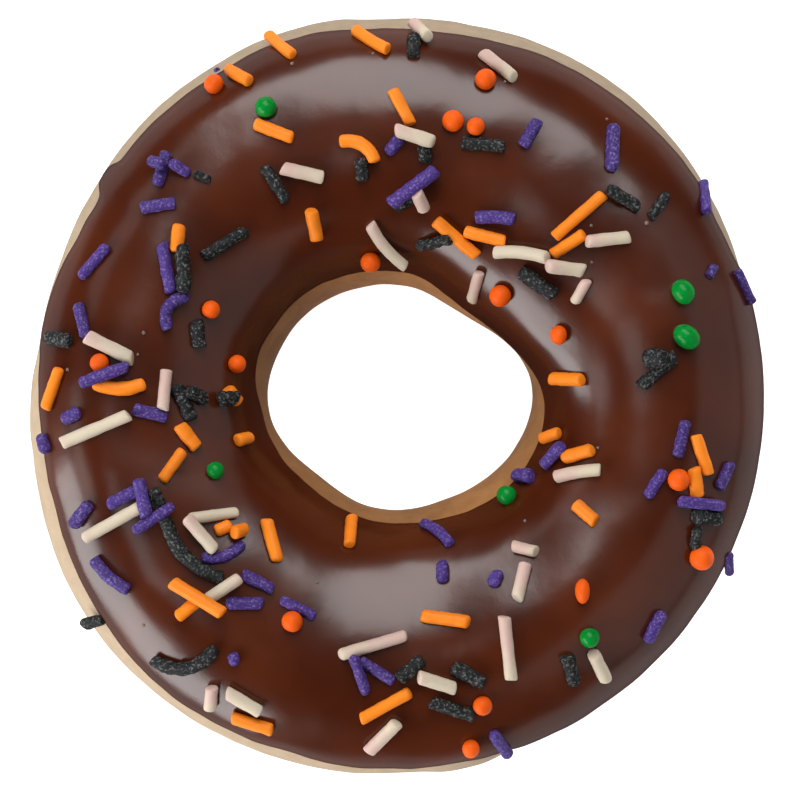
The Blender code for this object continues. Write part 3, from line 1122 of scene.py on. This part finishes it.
def add_panel(name, azimuth, elevation, distance, wide, high, radiance, shape="RECTANGLE", roll=0):
    """A flat soft light that faces the doughnut from a direction, this bright to look at."""
    lamp = bpy.data.lights.new(name, "AREA")
    lamp.shape = shape
    lamp.size = wide
    lamp.size_y = high
    lamp.energy = radiance * math.pi * wide * high * (math.pi / 4 if shape == "ELLIPSE" else 1)
    lamp.use_shadow = True
    light = bpy.data.objects.new(name, lamp)
    bpy.context.scene.collection.objects.link(light)
    up, round_about = math.radians(elevation), math.radians(azimuth)
    out = Vector((
        math.cos(up) * math.cos(round_about), math.cos(up) * math.sin(round_about), math.sin(up)))
    light.location = AIM + out * distance
    rolled = Quaternion((0, 0, 1), math.radians(roll))
    light.rotation_euler = (out.to_track_quat("Z", "Y") @ rolled).to_euler()
    light.visible_camera = False
    return light


class SetStage(bpy.types.Operator):
    """Set the floor, the soft lights and the camera"""

    bl_idname = "doughnut.set_stage"
    bl_label = "Set Stage"

    def execute(self, context):
        look = context.scene.doughnut_stage
        scene = context.scene
        shape = bmesh.new()
        bmesh.ops.create_circle(shape, cap_ends=True, segments=96, radius=6.0)
        mesh = bpy.data.meshes.new("floor")
        shape.to_mesh(mesh)
        shape.free()
        floor = bpy.data.objects.new("floor", mesh)
        scene.collection.objects.link(floor)
        material, tree, shader, place = new_look("plain_floor", 0.9, 0.1)
        shader.inputs["Emission Color"].default_value = (1, 1, 1, 1)
        # The floor glows by the kind of ray: evenly white to the camera, and 1.6 bright to diffuse rays as painted
        # bounce light. In reflections it is a painted dark floor near the doughnut, with a painted glow 0.55 bright
        # beyond 5 to 9 cm that shows as a painted reflection on the icing's rim.
        rays = add_node(tree, "ShaderNodeLightPath").outputs
        bounced = figure(tree, "MULTIPLY", rays["Is Diffuse Ray"], 1.6)
        away = add_node(tree, "ShaderNodeVectorMath", {"operation": "LENGTH"}, Vector=place)
        mirrored = figure(
            tree, "MULTIPLY", rays["Is Glossy Ray"], between(tree, away.outputs["Value"], 0.05, 0.09))
        glow = figure(
            tree, "ADD", figure(tree, "ADD", rays["Is Camera Ray"], bounced),
            figure(tree, "MULTIPLY", mirrored, 0.55))
        tree.links.new(glow, shader.inputs["Emission Strength"])
        dark_floor_in_reflections = blend(tree, rays["Is Glossy Ray"], tuple(look.floor), (0.06, 0.05, 0.05))
        tree.links.new(dark_floor_in_reflections, shader.inputs["Base Color"])
        mesh.materials.append(material)
        add_panel("big_softbox", 94, 47, 0.9, 0.59, 0.98, look.key, roll=26)
        add_panel("west_glow", 188, 42, 0.9, 0.24, 0.24, look.glow, "ELLIPSE")
        add_panel("southwest_glow", 207, 73, 0.9, 0.16, 0.22, look.glow, "ELLIPSE")
        add_panel("northwest_glow", 146, 38, 0.9, 0.4, 0.34, 0.35 * look.glow, "ELLIPSE")
        add_panel("low_panel", 219, 19, 0.8, 0.9, 0.45, 0.95 * look.side)
        add_panel("right_fill", 345, 37, 1.1, 1.8, 1.35, look.fill)
        world = bpy.data.worlds.new("studio")
        world.use_nodes = True
        air = world.node_tree
        backdrop = air.nodes["Background"]
        backdrop.inputs["Color"].default_value = (1, 1, 1, 1)
        backdrop.inputs["Strength"].default_value = 1.0
        dim = add_node(air, "ShaderNodeBackground", Color=(1, 1, 1, 1), Strength=0.03)
        seen = add_node(air, "ShaderNodeLightPath").outputs["Is Camera Ray"]
        mixed = add_node(air, "ShaderNodeMixShader", Fac=seen)
        air.links.new(dim.outputs[0], mixed.inputs[1])
        air.links.new(backdrop.outputs[0], mixed.inputs[2])
        air.links.new(mixed.outputs[0], air.nodes["World Output"].inputs["Surface"])
        scene.world = world
        lens = bpy.data.cameras.new("camera")
        lens.lens = 135
        lens.sensor_width = 36
        lens.clip_start = 0.01
        camera = bpy.data.objects.new("camera", lens)
        scene.collection.objects.link(camera)
        camera.location = EYE
        scene.camera = camera
        scene.view_settings.view_transform = "Standard"
        return {"FINISHED"}


class DoughnutPanel(bpy.types.Panel):
    """The doughnut's sizes and colours, and the steps that make it"""

    bl_idname = "VIEW3D_PT_doughnut"
    bl_label = "Doughnut"
    bl_space_type = "VIEW_3D"
    bl_region_type = "UI"
    bl_category = "Doughnut"

    def draw(self, context):
        for operator, group in STEPS:
            box = self.layout.box()
            settings = getattr(context.scene, group)
            for name in settings.__annotations__:
                box.prop(settings, name)
            box.operator(operator.bl_idname)


STEPS = (
    (MakeCrust, "doughnut_crust"),
    (MakeIcing, "doughnut_icing"),
    (LayRods, "doughnut_sugar"),
    (LayBeads, "doughnut_sugar"),
    (SetStage, "doughnut_stage"),
)
GROUPS = {
    "doughnut_crust": CrustSettings,
    "doughnut_icing": IcingSettings,
    "doughnut_sugar": SugarSettings,
    "doughnut_stage": StageSettings,
}


def register():
    for group in GROUPS.values():
        bpy.utils.register_class(group)
    for operator, _ in STEPS:
        bpy.utils.register_class(operator)
    bpy.utils.register_class(DoughnutPanel)
    for name, group in GROUPS.items():
        setattr(bpy.types.Scene, name, PointerProperty(type=group))


def unregister():
    for name in GROUPS:
        delattr(bpy.types.Scene, name)
    bpy.utils.unregister_class(DoughnutPanel)
    for operator, _ in reversed(STEPS):
        bpy.utils.unregister_class(operator)
    for group in reversed(GROUPS.values()):
        bpy.utils.unregister_class(group)


def main():
    register()
    bpy.ops.doughnut.make_crust()
    bpy.ops.doughnut.make_icing()
    bpy.ops.doughnut.lay_rods()
    bpy.ops.doughnut.lay_beads()
    bpy.ops.doughnut.set_stage()


if __name__ == "__main__":
    main()
